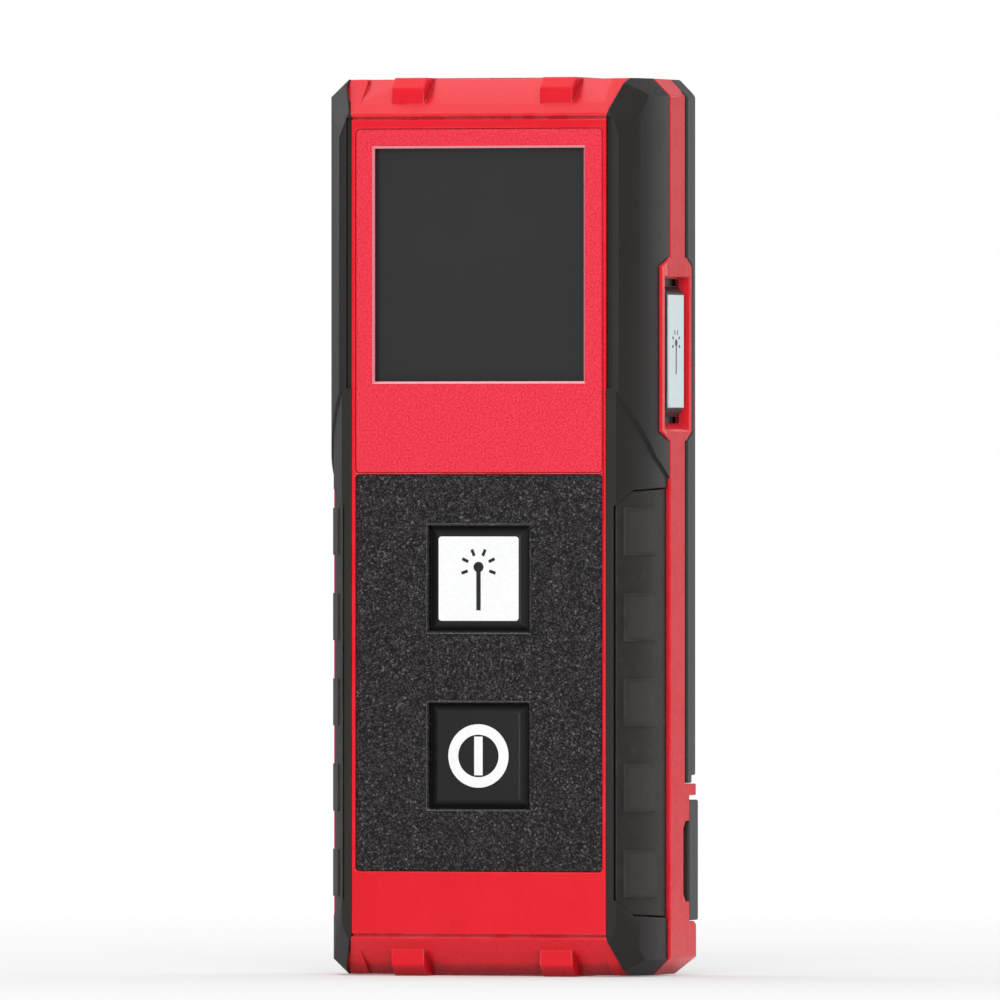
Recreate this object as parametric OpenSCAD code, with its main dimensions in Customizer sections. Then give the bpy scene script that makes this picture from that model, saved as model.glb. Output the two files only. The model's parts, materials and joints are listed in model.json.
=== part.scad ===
// Pocket laser distance meter with a folding end piece.
// Frame: +X is the user's right, the front faces -Y, +Z is up, and the origin
// is under the middle of the body, at the level it stands on.
// Sub-parts are drawn in X, depth and Z, where depth 0 is the front face.

/* [Overall size] */
// Height between the two end faces
height = 116.2; // [116:0.1:116.6]
// Width across the grips
width = 46; // [46:0.1:46.6]
// Depth from the front face to the back of the rear cover
body_depth = 20.5; // [20.5:0.1:20.8]
// How far the end piece stands out behind the rear cover
end_piece_proud = 1; // [0.8:0.1:1.2]

/* [Front face] */
// Width of the display opening
window_w = 29; // [27:0.1:29.4]
// Height of the display opening
window_h = 30.7; // [29:0.1:31]
// Width of the bezel panel and of the keypad panel
panel_w = 33.5; // [33:0.1:33.8]
// Side of the two square front buttons
button_w = 13.5; // [12:0.1:14]
// Side of the flat top of a front button
button_top_w = 10.9; // [10:0.1:11.5]
// Height of the middle of the measure button
measure_z = 51.4; // [50:0.1:53]
// Height of the middle of the power button
power_z = 28.5; // [27:0.1:30]

/* [Side button] */
// Height of the middle of the side button
side_z = 80.8; // [80.4:0.1:81.2]
// Depth of the middle of the side button behind the front face
side_d = 12.2; // [12:0.1:12.3]
// Height of the side button's cap
side_cap_h = 16.9; // [16:0.1:17.2]
// Width of the side button's cap
side_cap_w = 8.4; // [8:0.1:8.8]

/* [Moving parts] */
// Travel of each button
button_travel = 0.6; // [0.3:0.1:0.6]
// Height of the end piece
end_piece_h = 15.6; // [15:0.1:15.7]
// Height of the end piece's pin above the base
pin_z = 3.2; // [3.1:0.1:3.3]
// Radius of the end piece's pin
pin_r = 0.75; // [0.6:0.05:0.8]

/* [Batteries] */
// Radius of an AAA cell
cell_r = 5.25; // [5:0.05:5.25]
// Length of an AAA cell with its contact
cell_l = 44.5; // [44:0.1:44.5]

/* [Hidden] */
$fn = 64;

red = [0.86, 0.10, 0.15];
textured_red = [0.85, 0.16, 0.24];
grip_black = [0.17, 0.165, 0.16];
cover_grey = [0.23, 0.23, 0.235];
steel = [0.75, 0.75, 0.77];
board_green = [0.05, 0.30, 0.16];

total_depth = body_depth + end_piece_proud;
half = width / 2;
mid_z = height / 2;
big = 60;
hair = 0.05;          // gap between pieces that only lie against each other
past = 1;             // how far a cut runs past the face that it opens
fit = 0.1;            // what a pocket has over the width of the piece in it

// Ends of the body
end_step = 0.15;      // the raised middle stands this far above the body's ends
body_bottom = end_step;
body_top = height - end_step;
corner_cut = 2.4;     // the corners between the sides and the ends, cut at 45 degrees
bevel_z = 4.4;        // the sloping front bevel, measured from the end
bevel_d = 6.3;
bevel_half = 16.6;
rail_z = 4.8;         // the rails beside the bevel
rail_d = 4.9;
plateau_half = 12.3;
plateau_back = 16.5;
base_back = 16.9;     // the raised middle of the base reaches further back

// The grips' curved flank: an arc through the stripe's front edge
face_half = 17.35;    // half width of the front frame
stripe_d = 9.5;       // where the grip ends and the red stripe begins
split_d = 16.6;       // where the rear cover begins
arc_r = 20;
arc_d = 12.1;
arc_start_d = 10.3;
arc_x = half - sqrt(arc_r * arc_r - (arc_d - arc_start_d) * (arc_d - arc_start_d));
lower_inset = 0.3;    // the lower part of the grips lies this much deeper
pad_depth = 1.5;      // depth of the pocket under a grip pad
pad_inset = 0.45;     // the pad between its ribs
rib_inset = 0.22;     // the tops of the ribs
proud = 0.3;          // the side button's surround stands above the grip's arc
side_groove = [0.7, 0.65];    // width and depth of the groove beside the front frame
side_groove_z = [76, 111];
core_inset = 0.3;     // what the grips' sloping ends have over the housing
pad_gap = 0.22;
pad_low = 7.75;
pad_high = 63;
rib_pitch = 11.05;
rib_h = 6.1;
rib_low = 10.25;

// Front panels
pocket_d = 0.9;
wall_d = 2.6;         // inner face of the front wall
bezel_low = 65.1;
bezel_high = 109.5;
window_low = 76.6;
keypad_low = 13.6;
keypad_high = 64.85;
panel_r = 0.5;
window_r = 0.3;
button_r = 0.4;
pane_d = 1.15;
pane_t = 0.8;
gasket_t = 0.2;
ledge = 1.2;          // width of the ledge that holds the window
groove_z = [110.75, 111.1];   // fine groove across the front, beside each bevel
groove_deep = 0.35;
bezel_mid = (bezel_high + bezel_low) / 2;
bezel_h = bezel_high - bezel_low;
keypad_mid = (keypad_high + keypad_low) / 2;
keypad_h = keypad_high - keypad_low;
window_mid = window_low + window_h / 2;
opening_w = button_w + 0.3;   // side of a front button's opening
collar_t = 0.4;       // wall of the collar that lines it
collar_w = opening_w + 2 * collar_t;

// Board and what is on it
board_d = 5.9;
board_t = 1;
board_half = 15.4;
board_low = 9;
board_high = 110;
flange_t = 0.65;
flange_over = 1.1;    // how far a front button's flange reaches past its cap
slope_d = 0.9;        // where a front button's sloping edge ends
stem_r = 1;
stem_gap = 0.1;
switch_w = 5;
switch_h = 1;
boss_x = 13.6;
boss_zs = [11.5, 71];
pilot_r = 0.65;       // screw holes in the housing's bosses

// Side button
wall_x = half - 1.8;  // inner face of the side wall
surround_d = [6.8, 18.5];
surround_z = [69.2, 93];
surround_cut = [2.4, 1.2];    // its corners, in depth and in Z
side_mouth_deep = 1.1;
side_mouth_d = [7.6, 17.5];   // the mouth's edges at the outer face
side_mouth_z = [70.6, 90.4];
side_mouth_slope = 0.9;       // its lower and rear walls slope by this much
side_gap = [0.2, 0.9];        // round the cap in its opening, in depth and in Z
side_flange = [9.8, 19.2];    // width and height of the cap's flange
side_flange_room = 0.3;       // all round the flange
side_board_x = wall_x - 3.6;
side_board_t = 0.8;

// End piece and its recess
recess_low = 7;
recess_high = 23.3;
rib_top = 24.8;
recess_d = 17.5;
finger_deep = 2.3;    // the finger recesses in the two sides
finger_d = 15;
finger_z = [9.6, 20];
detent_half = [3.4, 4.4];     // half width and half height of the detent spring
detent_z = 13;
end_piece_low = 7.1;
end_piece_d = 17.65;
end_piece_half = 22.9;
pin_d = 18.6;
arm_r = 1.45;
arm_x = 11;
arm_w = 4;
pin_half = 15;

// Battery bay
cell_x = 5.55;
cell_d = 13.45;
tray_half = 12.6;
tray_d = 7.6;
tray_back = 18.85;
tray_low = 26.4;
tray_high = 79.4;
tray_wall = 1;
tray_end = 1.5;
left_cell_low = 31.4;
right_cell_low = 30;
door_half = 13.7;
door_low = 27.7;
door_high = 78.3;
door_t = 1;
door_ledge = 0.8;
door_r = 1.5;
door_mid = (door_high + door_low) / 2;
door_h = door_high - door_low;
nail_notch = [0.9, 9];        // radius and length of the notch above the door

// Optics
optics_d = 12;
laser_x = -7.5;
laser_r = 2.6;
receiver_x = 4.6;
receiver_r = 4.05;
chassis_half = 15;
chassis_low = 84;
chassis_high = 113;
optics_half = 11.4;
optics_w = 8;
optics_screw_x = 17.6;
optics_screw_z = 98;
ear_d = 9;
window_bore_r = 2.75;         // in front of the receiver lens

case_screw_x = 18.2;
case_screw_zs = [30, 104];
screw_head_r = 2.1;           // counterbore of a case screw
label = [28, 20, 0.9];        // width, height and corner radius of the rating plate
label_z = 95.5;

// ---- helpers -------------------------------------------------------------

module place(c) {
    color(c) translate([0, -total_depth / 2, 0]) children();
}

// A box between two corners
module block(low, high) {
    translate(low) cube([for (i = [0:2]) high[i] - low[i]]);
}

// A box centred on X
module centred(half_x, low_d, high_d, low_z, high_z) {
    block([-half_x, low_d, low_z], [half_x, high_d, high_z]);
}

module on_both_sides() {
    children();
    mirror([1, 0, 0]) children();
}

module at_both_ends() {
    children();
    translate([0, 0, height]) mirror([0, 0, 1]) children();
}

// Points of the right half, followed by their mirror images
function both(points) = concat(
    points, [for (i = [len(points) - 1:-1:0]) [-points[i][0], points[i][1]]]
);

// An outline in X and depth, raised from one height to another
module rise(low, high) {
    translate([0, 0, low]) linear_extrude(high - low) children();
}

// An outline in depth and Z, carried from one X to another
module across(low, high) {
    translate([low, 0, 0]) rotate([90, 0, 90]) linear_extrude(high - low) children();
}

// Everything on the side of a plane that its normal points to
module beyond(point, normal) {
    n = normal / norm(normal);
    translate(point) rotate([0, acos(n[2]), atan2(n[1], n[0])])
        translate([-big, -big, 0]) cube([2 * big, 2 * big, big]);
}

// A cylinder along the depth axis
module peg(x, z, low_d, high_d, r) {
    translate([x, low_d, z]) rotate([-90, 0, 0]) cylinder(r = r, h = high_d - low_d);
}

// A cylinder along X
module bar(d, z, low_x, high_x, r) {
    translate([low_x, d, z]) rotate([0, 90, 0]) cylinder(r = r, h = high_x - low_x);
}

// A cylinder along Z
module post(x, d, low_z, high_z, r) {
    translate([x, d, low_z]) cylinder(r = r, h = high_z - low_z);
}

// A rectangle with true round corners
module round_rect(w, h, r) {
    square([w - 2 * r, h], center = true);
    square([w, h - 2 * r], center = true);
    for (x = [-1, 1], y = [-1, 1])
        translate([x * (w / 2 - r), y * (h / 2 - r)]) circle(r);
}

// A rounded plate facing the front, between two depths
module plate(w, h, z, low_d, high_d, r) {
    translate([0, high_d, z]) rotate([90, 0, 0])
        linear_extrude(high_d - low_d) round_rect(w, h, r);
}

// A flat-topped cap: a square base, a sloping edge and a smaller top
module cap_shape(base_w, base_h, top_w, top_h, low, high) {
    hull() {
        translate([-base_w / 2, -base_h / 2, low]) cube([base_w, base_h, 0.01]);
        translate([-top_w / 2, -top_h / 2, high - 0.01]) cube([top_w, top_h, 0.01]);
    }
}

// ---- the body's outer form -----------------------------------------------

module corner_cuts() {
    at_both_ends() on_both_sides()
        beyond([half, 0, height - corner_cut], [1, 0, 1]);
}

// The facet that cuts a grip's front corner at the top right
facet_points = [
    [face_half + 0.3, 0, 111.8], [half - 1.35, 4.7, 113.8], [half - 3.85, 0.2, 108.7]
];
facet_normal = cross(facet_points[2] - facet_points[0], facet_points[1] - facet_points[0]);

module grip_facets() {
    at_both_ends() beyond(facet_points[0], facet_normal);
}

// The grips draw back from the bevel towards each end
module grip_end_relief() {
    at_both_ends() beyond([face_half, 0, 111], [-1, 0, 0.35]);
}

// The housing fills what the grips leave free there
module relief_wedges() {
    on_both_sides() at_both_ends() intersection() {
        beyond([face_half, 0, 111], [-1, 0, 0.35]);
        block([face_half - past, 0, 110.9], [18.3, 1.8, body_top]);
    }
}

module flank_disc(inset) {
    translate([arc_x, arc_d]) circle(arc_r - inset, $fn = 128);
}

// The flank's full round, with both ends cut like the body's corners
module flank_barrel(inset) {
    mid_r = arc_r - inset;
    end_r = mid_r - corner_cut + end_step;
    translate([arc_x, arc_d, 0]) rotate_extrude($fn = 128) polygon([
        [0, body_bottom], [end_r, body_bottom], [mid_r, corner_cut],
        [mid_r, height - corner_cut], [end_r, body_top], [0, body_top]
    ]);
}

module surround_outline(grow = 0) {
    d = [surround_d[0] - grow, surround_d[1] + grow];
    z = [surround_z[0] - grow, surround_z[1] + grow];
    c = surround_cut;
    polygon([
        [d[0], z[0] + c[1]], [d[0] + c[0], z[0]], [d[1] - c[0], z[0]], [d[1], z[0] + c[1]],
        [d[1], z[1] - c[1]], [d[1] - c[0], z[1]], [d[0] + c[0], z[1]], [d[0], z[1] - c[1]]
    ]);
}

// The raised frame round the side button follows the arc at its front
module surround() {
    intersection() {
        across(wall_x - 0.5, half) surround_outline();
        rise(surround_z[0] - past, surround_z[1] + past) {
            flank_disc(-proud);
            translate([0, arc_d]) square([half, body_depth - arc_d]);
        }
    }
}

// ---- housing ---------------------------------------------------------------

core_profile = [
    [face_half, 0], [face_half, 1.7], [18.3, 1.7], [half - 2.1, 7.2],
    [half - 2.1, stripe_d], [half, stripe_d], [half, 15.6], [half - 0.7, 15.6],
    [half - 0.7, split_d - 0.1]
];
foot_profile = [[half, stripe_d], [half, body_depth - 0.3], [half - 0.3, body_depth]];
cavity_profile = [
    [15.9, wall_d], [15.9, 3.3], [17, 3.3], [19.6, 8.9], [wall_x, 10.5],
    [wall_x, split_d + 1]
];
lower_cavity_profile = [
    [15.9, wall_d], [15.9, 3.3], [17, 3.3], [18.6, 7.2], [18.6, 15.9]
];

// The body without what is added round it; its ends stay under the grips' ends
module core() {
    difference() {
        rise(body_bottom, body_top) polygon(both(core_profile));
        on_both_sides() difference() {
            at_both_ends()
                block([face_half, -past, height - corner_cut], [half + past, stripe_d, height + past]);
            flank_barrel(core_inset);
        }
    }
}

module end_bevels() {
    at_both_ends() {
        intersection() {
            beyond([0, 0, height - bevel_z], [0, -bevel_z, bevel_d]);
            centred(bevel_half, -1, body_depth, mid_z, height + 5);
        }
        beyond([0, 0, height - rail_z], [0, -rail_z, rail_d]);
    }
}

// Two blocks at each end, and the raised middle of the end face
module end_blocks() {
    block_x = 10.1;
    block_w = 4.4;
    at_both_ends() {
        on_both_sides() across(block_x - block_w / 2, block_x + block_w / 2)
            polygon([
                [1.4, 112.4], [1.4, height - 1.4], [2.6, height], [10, height],
                [10, 113.4], [4, 113.4]
            ]);
        centred(plateau_half, bevel_d + 0.3, plateau_back, 113.5, height);
    }
    centred(plateau_half, plateau_back - 1, base_back, 0, height - 113.5);
}

// A box centred on the side button, between two X
module side_block(low_x, high_x, w, h) {
    block([low_x, side_d - w / 2, side_z - h / 2], [high_x, side_d + w / 2, side_z + h / 2]);
}

// The mouth round the side button: its lower and rear walls slope inwards
module side_mouth() {
    x = [half - side_mouth_deep, half + past];
    // how far a sloping wall moves out over the depth of the mouth and past it
    out = side_mouth_slope * past / side_mouth_deep;
    intersection() {
        rise(side_mouth_z[0] - past, side_mouth_z[1]) polygon([
            [x[0], side_mouth_d[0]], [x[1], side_mouth_d[0]],
            [x[1], side_mouth_d[1] + out], [x[0], side_mouth_d[1] - side_mouth_slope]
        ]);
        translate([0, body_depth, 0]) rotate([90, 0, 0]) linear_extrude(body_depth) polygon([
            [x[0], side_mouth_z[0] + side_mouth_slope], [x[1], side_mouth_z[0] - out],
            [x[1], side_mouth_z[1]], [x[0], side_mouth_z[1]]
        ]);
    }
}

// The mouth, the opening for the cap and room for its flange
module side_recess() {
    side_mouth();
    side_block(wall_x - 3, half + past, side_cap_w + 2 * side_gap[0],
               side_cap_h + 2 * side_gap[1]);
    side_block(wall_x - 3.4, wall_x,
               side_flange[0] + 2 * side_flange_room, side_flange[1] + 2 * side_flange_room);
}

module finger_recesses() {
    cut = 1;
    on_both_sides() across(half - finger_deep, half + past)
        polygon([
            [finger_d, finger_z[0] + cut], [finger_d + cut, finger_z[0]],
            [recess_d + past, finger_z[0]], [recess_d + past, finger_z[1]],
            [finger_d + cut, finger_z[1]], [finger_d, finger_z[1] - cut]
        ]);
}

module case_bosses(low_d, high_d, r) {
    for (x = [-1, 1], z = case_screw_zs) peg(x * case_screw_x, z, low_d, high_d, r);
}

module end_piece_slots() {
    on_both_sides() block(
        [arm_x - arm_w / 2 - fit, pin_d - arm_r - 0.2, pin_z - arm_r - 0.15],
        [arm_x + arm_w / 2 + fit, body_depth + past, recess_low + past]
    );
    bar(pin_d, pin_z, -pin_half - fit, pin_half + fit, pin_r + hair);
    // room for the end piece's lower edge as it swings
    across(-half - past, half + past) polygon([
        [19.3, recess_low + 0.1], [body_depth + past, 5.9], [body_depth + past, recess_low + past]
    ]);
}

module main_housing() place(red) {
    difference() {
        union() {
            core();
            rise(body_bottom, recess_low) polygon(both(foot_profile));
            rise(recess_high, rib_top) polygon(both(foot_profile));
            rise(recess_low, recess_high)
                polygon(both([[half, stripe_d], [half, recess_d], [0.1, recess_d]]));
            surround();
            relief_wedges();
        }
        end_bevels();
        corner_cuts();
        housing_cavity();
        // back of the bottom edge
        across(-half - past, half + past) polygon([
            [body_depth - 2.4, body_bottom - past], [body_depth + past, body_bottom - past],
            [body_depth + past, 3.8], [body_depth - 2.4, body_bottom]
        ]);
        front_openings();
        side_recess();
        finger_recesses();
        end_piece_slots();
        optics_opening();
        // seat of the detent spring
        block([-detent_half[0] - 0.2, recess_d - 0.9, detent_z - detent_half[1] - 0.2],
              [detent_half[0] + 0.2, recess_d + past, detent_z + detent_half[1] + 0.2]);
    }
    difference() {
        union() {
            end_blocks();
            board_bosses();
            case_bosses(8, split_d - 0.1, 2.4);
            optics_bosses();
        }
        case_bosses(10, body_depth, 0.9);
        for (x = [-1, 1], z = boss_zs) peg(x * boss_x, z, 3.2, board_d + past, pilot_r);
        for (x = [-1, 1]) peg(x * optics_screw_x, optics_screw_z, 5, ear_d + past, pilot_r);
        optics_opening();
    }
}

// Inside, above the end piece's recess and in front of it
module housing_cavity() {
    bevel_wall = 2.1;
    difference() {
        rise(rib_top, 113.6) polygon(both(cavity_profile));
        beyond([0, 0, height - bevel_z - bevel_wall], [0, -bevel_z, bevel_d]);
    }
    difference() {
        rise(2.4, rib_top + 0.1) polygon(both(lower_cavity_profile));
        beyond([0, 0, bevel_z + bevel_wall], [0, -bevel_z, -bevel_d]);
    }
}

// Pockets of the panels and of the display, the buttons' openings and two fine grooves
module front_openings() {
    plate(panel_w + fit, bezel_h + fit, bezel_mid, -past, pocket_d, panel_r + fit / 2);
    plate(panel_w + fit, keypad_h + fit, keypad_mid, -past, pocket_d, panel_r + fit / 2);
    plate(window_w + fit, window_h + fit, window_mid, -past, pane_d + pane_t + gasket_t,
          window_r + fit / 2);
    plate(window_w - 2 * ledge, window_h - 2 * ledge, window_mid, -past, wall_d + past, window_r);
    for (z = [measure_z, power_z])
        plate(collar_w + fit, collar_w + fit, z, -past, wall_d + past, button_r + collar_t);
    at_both_ends() centred(face_half + past, -past, groove_deep, groove_z[0], groove_z[1]);
}

// The place of the optics bezel in the top face
module optics_opening() {
    centred(optics_half + fit, optics_d - optics_w / 2 - fit,
            optics_d + optics_w / 2 + fit, chassis_high, height + past);
}

module board_bosses() {
    for (x = [-1, 1], z = boss_zs) peg(x * boss_x, z, wall_d - 0.3, board_d, 2);
}

module optics_bosses() {
    for (x = [-1, 1]) peg(x * optics_screw_x, optics_screw_z, 4.4, ear_d, 1.9);
}

// ---- rear cover ------------------------------------------------------------

module cover_outline(edge_half) {
    r = 0.8;
    translate([-edge_half, split_d + hair]) square([2 * edge_half, body_depth - r - split_d - hair]);
    translate([r - edge_half, split_d + hair])
        square([2 * (edge_half - r), body_depth - split_d - hair]);
    on_both_sides() translate([edge_half - r, body_depth - r]) circle(r);
}

module rear_cover() place(cover_grey) {
    difference() {
        rise(rib_top + 0.1, body_top) cover_outline(half);
        corner_cuts();
        // hollow inside, with a wall all round
        centred(wall_x + 0.2, split_d, 19, rib_top + 1.4, body_top - 1.5);
        // the battery opening and the door's rebate
        centred(door_half - door_ledge, split_d, body_depth + past,
                door_low + door_ledge, door_high - door_ledge);
        plate(2 * door_half + 2 * fit, door_h + 2 * fit, door_mid,
              body_depth - door_t - 0.3, body_depth + past, door_r + fit);
        // a step under the lower edge, and the place of the side button's surround
        centred(half + past, 18.5, body_depth + past, rib_top, rib_top + 1.1);
        across(wall_x - 0.5, half + past) surround_outline(fit);
        // recess of the rating plate
        plate(label[0] + 2 * fit, label[1] + 2 * fit, label_z,
              body_depth - 0.3, body_depth + past, label[2] + fit);
        door_notch();
        cover_grooves();
        case_bosses(17.6, body_depth + past, screw_head_r);
    }
    difference() {
        case_bosses(split_d + hair, 19.2, screw_head_r + 0.8);
        case_bosses(17.6, body_depth + past, screw_head_r);
        case_bosses(split_d - past, 18, 1.1);
    }
}

// The nail notch that crosses the door's upper edge
module door_notch() {
    bar(body_depth, door_high, -nail_notch[1] / 2, nail_notch[1] / 2, nail_notch[0]);
}

// Shallow grip grooves on both sides of the door
module cover_grooves() {
    pitch = 4;
    groove_x = 18.4;
    for (x = [-1, 1], i = [0:7])
        block([x * groove_x - 2.6, body_depth - 0.35, 38 + pitch * i],
              [x * groove_x + 2.6, body_depth + past, 39.4 + pitch * i]);
}

module case_seal() place([0.1, 0.1, 0.1]) {
    difference() {
        centred(half - 0.8, split_d - 0.1, split_d + hair, rib_top + 0.5, body_top - 0.4);
        centred(half - 1.6, split_d - 1, split_d + 1, rib_top + 1.3, body_top - 1.2);
        corner_cuts();
        across(wall_x - 0.5, half + past) surround_outline(fit);
    }
}

module case_screws() place(steel) {
    for (x = [-1, 1], z = case_screw_zs) difference() {
        union() {
            peg(x * case_screw_x, z, 10.5, 17.7, 0.88);
            peg(x * case_screw_x, z, 17.6, 18.9, 1.9);
        }
        translate([x * case_screw_x, 18.2, z]) rotate([-90, 0, 0]) cylinder(r = 0.9, h = 2, $fn = 6);
    }
}

module rating_label() place([0.62, 0.62, 0.64]) {
    plate(label[0], label[1], label_z, body_depth - 0.3, body_depth - 0.15, label[2]);
}

// ---- grips -----------------------------------------------------------------

// Ring between two depths under the grip's surface, from the panel's edge round the flank
module flank_ring(outer, inner, first_d, last_d, first_x) {
    intersection() {
        difference() {
            flank_disc(outer);
            flank_disc(inner);
        }
        translate([first_x, first_d]) square([half - first_x - outer, last_d - first_d]);
    }
}

// Side outline of a grip pad in depth and Z, with its front corners cut
module pad_outline(grow) {
    front = [-1, 3.2];
    corner = [2.5, 0.35];
    polygon([
        [front[0], pad_low + front[1] - grow], [corner[0], pad_low + corner[1] - grow],
        [stripe_d, pad_low - grow], [stripe_d, pad_high + grow],
        [corner[0], pad_high - corner[1] + grow], [front[0], pad_high - front[1] + grow]
    ]);
}

// Below this slanted line the grip lies deeper
module lower_grip_outline() {
    polygon([[-1, 77], [6.2, 67.1], [stripe_d + 1, 63.5], [stripe_d + 1, -1], [-1, -1]]);
}

module grip_solid() {
    difference() {
        intersection() {
            flank_barrel(0);
            block([face_half, 0, body_bottom], [half, stripe_d - hair, body_top]);
        }
        core();
        grip_facets();
        grip_end_relief();
        block([face_half - past, -past, side_groove_z[0]],
              [face_half + side_groove[0], side_groove[1], side_groove_z[1]]);
        // the deeper lower part
        intersection() {
            across(0, half + 1) lower_grip_outline();
            rise(-1, height) difference() {
                translate([face_half + 0.9, -1]) square([half, stripe_d + 2]);
                flank_disc(lower_inset);
            }
        }
        // pocket of the pad
        intersection() {
            across(0, half + 1) pad_outline(pad_gap);
            rise(0, height) flank_ring(-2, pad_depth, -1, stripe_d, face_half + 1);
        }
    }
}

// The pad's section, from a depth under the grip's arc down to the floor of its pocket
module pad_ring(inset) {
    flank_ring(inset, pad_depth, 0.25, stripe_d - 0.12, face_half + 1 + pad_gap);
}

module pad_solid() {
    intersection() {
        across(0, half + past) pad_outline(0);
        rise(0, height) pad_ring(pad_inset);
    }
    for (i = [0:4]) intersection() {
        block([face_half, 1.3, rib_low + rib_pitch * i],
              [half + past, 6.6, rib_low + rib_pitch * i + rib_h]);
        rise(0, height) pad_ring(rib_inset);
    }
}

module left_grip() place(grip_black) mirror([1, 0, 0]) grip_solid();

module right_grip() place(grip_black) difference() {
    grip_solid();
    across(0, half + 1) surround_outline();
}

module left_grip_pad() place([0.24, 0.23, 0.22]) mirror([1, 0, 0]) pad_solid();
module right_grip_pad() place([0.24, 0.23, 0.22]) pad_solid();

// ---- front panels and display ----------------------------------------------

module bezel_panel() place(textured_red) difference() {
    plate(panel_w, bezel_h, bezel_mid, 0.08, pocket_d, panel_r);
    plate(window_w, window_h, window_mid, -past, pocket_d + past, window_r);
}

// The keypad panel has a collar round each button, down to the inside of the front wall
module keypad_panel() place([0.15, 0.14, 0.145]) difference() {
    union() {
        plate(panel_w, keypad_h, keypad_mid, 0.12, pocket_d, panel_r);
        for (z = [measure_z, power_z])
            plate(collar_w, collar_w, z, 0.05, wall_d, button_r + collar_t);
    }
    for (z = [measure_z, power_z])
        plate(opening_w, opening_w, z, -past, wall_d + past, button_r);
}

module display_window() place([0.21, 0.21, 0.21, 0.75]) {
    plate(window_w, window_h, window_mid, pane_d, pane_d + pane_t, window_r);
}

module window_gasket() place([0.08, 0.08, 0.08]) difference() {
    back = pane_d + pane_t;
    plate(window_w, window_h, window_mid, back, back + gasket_t, window_r);
    plate(window_w - 2 * ledge, window_h - 2 * ledge, window_mid, 0, back + past, window_r);
}

module lcd_glass() place([0.35, 0.38, 0.36]) {
    plate(28.6, 31, window_mid, 2.75, 4.35, window_r);
}

module lcd_backlight() place([0.9, 0.92, 0.9]) {
    plate(28.4, 30.8, window_mid, 4.4, 5.3, window_r);
}

// The two strips that join the glass to the board, grown by a given amount
module zebra_strips(low_d, high_d, grow) {
    for (z = [window_mid - 14, window_mid + 14])
        centred(12 + grow, low_d, high_d, z - 0.8 - grow, z + 0.8 + grow);
}

module lcd_holder() place([0.85, 0.85, 0.82]) difference() {
    plate(30.4, 33.4, window_mid, 2.7, board_d, 0.6);
    plate(28.8, 31.2, window_mid, 0, 5.35, window_r);
    plate(25, 25, window_mid, 0, board_d + past, window_r);
    zebra_strips(5, board_d + past, 0.1);
}

module zebra_connectors() place([0.9, 0.45, 0.6]) zebra_strips(5.35, board_d, 0);

// ---- front buttons -----------------------------------------------------------

// Cap with a sloping edge and a flange behind the front wall, top facing the front
module front_cap(z, top_d) {
    top_w = button_top_w + 0.3;
    flange_w = button_w + 2 * flange_over;
    translate([0, 0, z]) rotate([90, 0, 0])
        cap_shape(button_w, button_w, top_w, top_w, -slope_d, -top_d);
    plate(button_w, button_w, z, slope_d - hair, wall_d + 0.1, button_r);
    plate(flange_w, flange_w, z, wall_d + hair, wall_d + flange_t, button_r);
}

module measure_button() place([0.12, 0.12, 0.12]) front_cap(measure_z, 0.15);
module power_button() place([0.12, 0.12, 0.12]) front_cap(power_z, 0.02);

// A laser symbol: a dot on a stem with six short rays
module laser_symbol_2d(s) {
    dot_y = 1.5;
    stem_low = -4.1;
    translate([0, dot_y * s]) circle(0.68 * s);
    translate([-0.3 * s, stem_low * s]) square([0.6 * s, (dot_y - stem_low) * s]);
    for (a = [-109, -64, -22, 22, 64, 109]) translate([0, dot_y * s]) rotate(a)
        translate([-0.2 * s, 1.55 * s]) square([0.4 * s, 0.9 * s]);
}

// The symbol in the measure plate: its back lies at a given depth
module measure_symbol(back_d, thick) {
    translate([0, back_d, measure_z]) rotate([90, 0, 0]) linear_extrude(thick) laser_symbol_2d(1);
}

module measure_plate() place([0.95, 0.95, 0.95]) difference() {
    plate(button_top_w, button_top_w, measure_z, 0.03, 0.15, 0.4);
    measure_symbol(0.08, past);
}

module measure_icon() place([0.08, 0.08, 0.08]) measure_symbol(0.08, 0.05);

module power_icon() place([0.95, 0.95, 0.95]) {
    thick = 0.02;
    translate([0, thick, power_z]) rotate([90, 0, 0]) linear_extrude(thick) {
        difference() {
            circle(4.1);
            circle(2.75);
        }
        square([1.15, 5], center = true);
    }
}

module front_stem(z) {
    peg(0, z, wall_d + flange_t, board_d - switch_h + 0.05, stem_r);
}

module measure_switch_stem() place([0.1, 0.1, 0.1]) front_stem(measure_z);
module power_switch_stem() place([0.1, 0.1, 0.1]) front_stem(power_z);

// ---- side button -------------------------------------------------------------

side_top_x = half - 0.35;     // the flat top of the side button's cap
side_switch_x = side_board_x + side_board_t;

module side_button() place([0.13, 0.13, 0.13]) {
    translate([0, side_d, side_z]) rotate([90, 0, 90]) cap_shape(
        side_cap_w, side_cap_h, side_cap_w - 1.4, side_cap_h - 1.8, half - 1.3, side_top_x
    );
    side_block(wall_x - 0.2, half - 1.2, side_cap_w, side_cap_h);
    side_block(wall_x - 1, wall_x - hair, side_flange[0], side_flange[1]);
}

module side_symbol(thick) {
    translate([half - 0.16, side_d, side_z]) rotate([90, 0, 90])
        linear_extrude(thick) laser_symbol_2d(0.72);
}

module side_button_plate() place([0.78, 0.82, 0.84]) difference() {
    side_block(side_top_x, half - 0.1, 6.3, 14.6);
    side_symbol(past);
}

module side_button_icon() place([0.25, 0.3, 0.3]) side_symbol(0.05);

module side_switch_stem() place([0.1, 0.1, 0.1]) {
    bar(side_d, side_z, side_switch_x + switch_h - hair, wall_x - 1, stem_r);
}

module side_board() place(board_green) {
    block([side_board_x, side_d - 4.6, 70.5], [side_switch_x, side_d + 3.6, 91]);
}

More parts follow.
